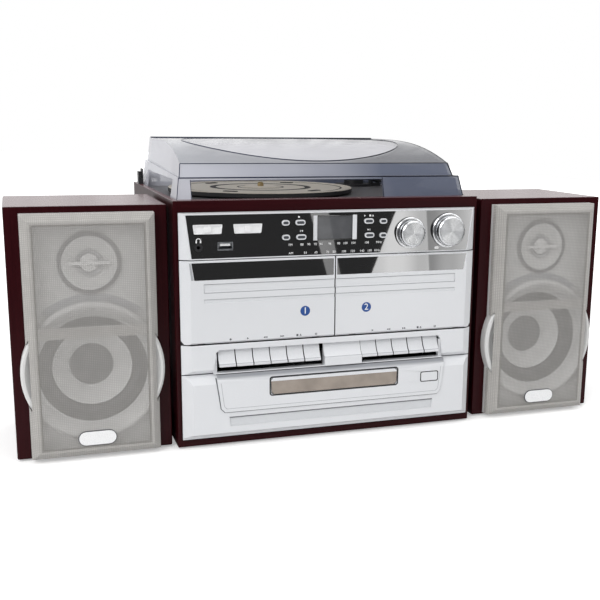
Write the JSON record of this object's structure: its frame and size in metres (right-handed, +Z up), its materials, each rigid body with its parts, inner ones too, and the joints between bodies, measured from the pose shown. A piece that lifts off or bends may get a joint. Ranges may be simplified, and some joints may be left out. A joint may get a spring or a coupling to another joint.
{
  "type": "stereo music centre",
  "caption": "Stereo music centre with a record player, two cassette decks, radio and disc drawer in a wood-grain cabinet, with two cloth-fronted speakers.",
  "frame": {"origin": "centre of the whole set's outline on the ground, with the cover closed and the grilles on", "axes": "+X to the right seen from the front, +Y to the back, +Z upwards"},
  "size_m": [0.6694, 0.327, 0.3203],
  "materials": {
    "wood_foil": "dark mahogany wood-grain foil, semi-gloss",
    "silver_plastic": "satin silver-white",
    "black_panel": "mirror gloss black",
    "black_plastic": "fine satin black",
    "spun_metal": "spun and brushed",
    "bright_plated": "bright plated",
    "white_plastic": "satin white",
    "smoked_acrylic": "clear smoked blue-grey",
    "display_glass": "grey display glass",
    "smoked_window": "brown-grey smoked",
    "deck_paint": "metallic grey-beige",
    "platter_finish": "satin cream-silver",
    "bare_steel": "plain",
    "moving_works": "plain black",
    "board_green": "lacquered",
    "core_iron": "varnished",
    "rubber": "matte",
    "cone_paper": "pressed grey",
    "grille_cloth": "fine grey weave on a frame",
    "back_board": "black pressed board"
  },
  "bodies": {
    "main_unit": {"cabinet_shell": "wood_foil", "back_panel": "back_board", "rear_sockets": "black_plastic", "rubber_feet": "rubber", "front_frame": "silver_plastic", "control_panel": "black_panel", "display_window": "display_glass", "front_sockets": "bright_plated", "key_panel": "silver_plastic", "disc_panel": "silver_plastic", "disc_mechanism": "moving_works", "cassette_mechanisms": "bare_steel", "circuit_boards": "board_green", "power_transformer": "core_iron", "turntable_deck": "deck_paint", "platter_bearing": "bare_steel", "drive_motor": "bare_steel", "arm_base": "black_plastic", "cover_hinges": "black_plastic", "speaker_cabinets": "wood_foil", "speaker_baffles": "silver_plastic", "woofers": "cone_paper", "tweeters": "white_plastic"},
    "cover": {"dust_cover": "smoked_acrylic"},
    "door_left": {"cassette_door_left": "silver_plastic"},
    "door_right": {"cassette_door_right": "silver_plastic"},
    "record_key_body": {"record_key": "silver_plastic"},
    "play_key_left_body": {"play_key_left": "silver_plastic"},
    "rewind_key_left_body": {"rewind_key_left": "silver_plastic"},
    "forward_key_left_body": {"forward_key_left": "silver_plastic"},
    "stop_key_left_body": {"stop_key_left": "silver_plastic"},
    "pause_key_left_body": {"pause_key_left": "silver_plastic"},
    "play_key_right_body": {"play_key_right": "silver_plastic"},
    "rewind_key_right_body": {"rewind_key_right": "silver_plastic"},
    "forward_key_right_body": {"forward_key_right": "silver_plastic"},
    "stop_key_right_body": {"stop_key_right": "silver_plastic"},
    "pause_key_right_body": {"pause_key_right": "silver_plastic"},
    "drawer": {"disc_drawer": "black_plastic", "drawer_window": "smoked_window"},
    "eject": {"eject_button": "silver_plastic"},
    "volume": {"volume_knob": "spun_metal"},
    "tuning": {"tuning_knob": "spun_metal"},
    "function": {"function_switch": "white_plastic"},
    "band": {"band_switch": "white_plastic"},
    "source_button_body": {"source_button": "bright_plated"},
    "record_button_body": {"record_button": "bright_plated"},
    "folder_button_body": {"folder_button": "bright_plated"},
    "back_button_body": {"back_button": "bright_plated"},
    "pause_button_body": {"pause_button": "bright_plated"},
    "mode_button_body": {"mode_button": "bright_plated"},
    "skip_button_body": {"skip_button": "bright_plated"},
    "search_button_body": {"search_button": "bright_plated"},
    "platter_body": {"platter": "platter_finish"},
    "arm_head": {"arm_gimbal": "black_plastic"},
    "arm_tube": {"tonearm": "spun_metal", "headshell": "black_plastic"},
    "lever": {"lift_lever": "black_plastic"},
    "speed": {"speed_switch": "black_plastic"},
    "grille_left_body": {"grille_left": "grille_cloth"},
    "grille_right_body": {"grille_right": "grille_cloth"}
  },
  "joints": [
    {"name": "cover_hinge", "type": "hinge", "parent": "main_unit", "child": "cover", "pos_m": [-0.00345, 0.1475, 0.27], "axis": [-1, 0, 0], "range_deg": [0, 65]},
    {"name": "door_left_hinge", "type": "hinge", "parent": "main_unit", "child": "door_left", "pos_m": [-0.08645, -0.1471, 0.1204], "axis": [1, 0, 0], "range_deg": [0, 25]},
    {"name": "door_right_hinge", "type": "hinge", "parent": "main_unit", "child": "door_right", "pos_m": [0.07955, -0.1471, 0.1204], "axis": [1, 0, 0], "range_deg": [0, 25]},
    {"name": "record_key_press", "type": "hinge", "parent": "main_unit", "child": "record_key_body", "pos_m": [-0.1222, -0.1115, 0.1], "axis": [1, 0, 0], "range_deg": [0, 6], "stiffness_Nm_per_rad": 0.6, "springref_deg": -2.86},
    {"name": "play_key_left_press", "type": "hinge", "parent": "main_unit", "child": "play_key_left_body", "pos_m": [-0.1035, -0.1115, 0.1], "axis": [1, 0, 0], "range_deg": [0, 6], "stiffness_Nm_per_rad": 0.6, "springref_deg": -2.86},
    {"name": "rewind_key_left_press", "type": "hinge", "parent": "main_unit", "child": "rewind_key_left_body", "pos_m": [-0.0848, -0.1115, 0.1], "axis": [1, 0, 0], "range_deg": [0, 6], "stiffness_Nm_per_rad": 0.6, "springref_deg": -2.86},
    {"name": "forward_key_left_press", "type": "hinge", "parent": "main_unit", "child": "forward_key_left_body", "pos_m": [-0.0661, -0.1115, 0.1], "axis": [1, 0, 0], "range_deg": [0, 6], "stiffness_Nm_per_rad": 0.6, "springref_deg": -2.86},
    {"name": "stop_key_left_press", "type": "hinge", "parent": "main_unit", "child": "stop_key_left_body", "pos_m": [-0.0474, -0.1115, 0.1], "axis": [1, 0, 0], "range_deg": [0, 6], "stiffness_Nm_per_rad": 0.6, "springref_deg": -2.86},
    {"name": "pause_key_left_press", "type": "hinge", "parent": "main_unit", "child": "pause_key_left_body", "pos_m": [-0.0287, -0.1115, 0.1], "axis": [1, 0, 0], "range_deg": [0, 6], "stiffness_Nm_per_rad": 0.6, "springref_deg": -2.86},
    {"name": "play_key_right_press", "type": "hinge", "parent": "main_unit", "child": "play_key_right_body", "pos_m": [0.0365, -0.1115, 0.1], "axis": [1, 0, 0], "range_deg": [0, 6], "stiffness_Nm_per_rad": 0.6, "springref_deg": -2.86},
    {"name": "rewind_key_right_press", "type": "hinge", "parent": "main_unit", "child": "rewind_key_right_body", "pos_m": [0.0552, -0.1115, 0.1], "axis": [1, 0, 0], "range_deg": [0, 6], "stiffness_Nm_per_rad": 0.6, "springref_deg": -2.86},
    {"name": "forward_key_right_press", "type": "hinge", "parent": "main_unit", "child": "forward_key_right_body", "pos_m": [0.0739, -0.1115, 0.1], "axis": [1, 0, 0], "range_deg": [0, 6], "stiffness_Nm_per_rad": 0.6, "springref_deg": -2.86},
    {"name": "stop_key_right_press", "type": "hinge", "parent": "main_unit", "child": "stop_key_right_body", "pos_m": [0.0926, -0.1115, 0.1], "axis": [1, 0, 0], "range_deg": [0, 6], "stiffness_Nm_per_rad": 0.6, "springref_deg": -2.86},
    {"name": "pause_key_right_press", "type": "hinge", "parent": "main_unit", "child": "pause_key_right_body", "pos_m": [0.1113, -0.1115, 0.1], "axis": [1, 0, 0], "range_deg": [0, 6], "stiffness_Nm_per_rad": 0.6, "springref_deg": -2.86},
    {"name": "drawer_slide", "type": "slide", "parent": "main_unit", "child": "drawer", "axis": [0, -1, 0], "range_m": [0, 0.125]},
    {"name": "eject_press", "type": "slide", "parent": "main_unit", "child": "eject", "axis": [0, 1, 0], "range_m": [0, 0.0015], "stiffness_N_per_m": 300, "springref_m": -0.001},
    {"name": "volume_turn", "type": "hinge", "parent": "main_unit", "child": "volume", "pos_m": [0.08155, -0.1515, 0.2246], "axis": [0, -1, 0], "range_deg": [-140, 140]},
    {"name": "tuning_turn", "type": "hinge", "parent": "main_unit", "child": "tuning", "pos_m": [0.12685, -0.1515, 0.2262], "axis": [0, -1, 0], "range_deg": [-140, 140]},
    {"name": "function_slide", "type": "slide", "parent": "main_unit", "child": "function", "axis": [1, 0, 0], "range_m": [-0.007, 0.007]},
    {"name": "band_slide", "type": "slide", "parent": "main_unit", "child": "band", "axis": [1, 0, 0], "range_m": [-0.007, 0.007]},
    {"name": "source_button_press", "type": "slide", "parent": "main_unit", "child": "source_button_body", "axis": [0, 1, 0], "range_m": [0, 0.0008], "stiffness_N_per_m": 300, "springref_m": -0.0005},
    {"name": "record_button_press", "type": "slide", "parent": "main_unit", "child": "record_button_body", "axis": [0, 1, 0], "range_m": [0, 0.0008], "stiffness_N_per_m": 300, "springref_m": -0.0005},
    {"name": "folder_button_press", "type": "slide", "parent": "main_unit", "child": "folder_button_body", "axis": [0, 1, 0], "range_m": [0, 0.0008], "stiffness_N_per_m": 300, "springref_m": -0.0005},
    {"name": "back_button_press", "type": "slide", "parent": "main_unit", "child": "back_button_body", "axis": [0, 1, 0], "range_m": [0, 0.0008], "stiffness_N_per_m": 300, "springref_m": -0.0005},
    {"name": "pause_button_press", "type": "slide", "parent": "main_unit", "child": "pause_button_body", "axis": [0, 1, 0], "range_m": [0, 0.0008], "stiffness_N_per_m": 300, "springref_m": -0.0005},
    {"name": "mode_button_press", "type": "slide", "parent": "main_unit", "child": "mode_button_body", "axis": [0, 1, 0], "range_m": [0, 0.0008], "stiffness_N_per_m": 300, "springref_m": -0.0005},
    {"name": "skip_button_press", "type": "slide", "parent": "main_unit", "child": "skip_button_body", "axis": [0, 1, 0], "range_m": [0, 0.0008], "stiffness_N_per_m": 300, "springref_m": -0.0005},
    {"name": "search_button_press", "type": "slide", "parent": "main_unit", "child": "search_button_body", "axis": [0, 1, 0], "range_m": [0, 0.0008], "stiffness_N_per_m": 300, "springref_m": -0.0005},
    {"name": "platter_spin", "type": "hinge", "parent": "main_unit", "child": "platter_body", "pos_m": [-0.04345, 0.0091, 0.2652], "axis": [0, 0, -1], "continuous": true},
    {"name": "arm_swing", "type": "hinge", "parent": "main_unit", "child": "arm_head", "pos_m": [0.10955, 0.1025, 0.266], "axis": [0, 0, -1], "range_deg": [0, 42]},
    {"name": "arm_lift", "type": "hinge", "parent": "arm_head", "child": "arm_tube", "pos_m": [0.10955, 0.1025, 0.2772], "axis": [-1, 0, 0], "range_deg": [0, 2.5]},
    {"name": "lever_turn", "type": "hinge", "parent": "main_unit", "child": "lever", "pos_m": [0.13655, 0.0965, 0.266], "axis": [-1, 0, 0], "range_deg": [0, 50]},
    {"name": "speed_slide", "type": "slide", "parent": "main_unit", "child": "speed", "axis": [0, 1, 0], "range_m": [0, 0.012]},
    {"name": "grille_left_pull", "type": "slide", "parent": "main_unit", "child": "grille_left_body", "axis": [0, -1, 0], "range_m": [0, 0.03]},
    {"name": "grille_right_pull", "type": "slide", "parent": "main_unit", "child": "grille_right_body", "axis": [0, -1, 0], "range_m": [0, 0.03]}
  ],
  "couplings": [
    {"joint": "lever_turn", "follows": "arm_lift", "ratio": 20}
  ]
}
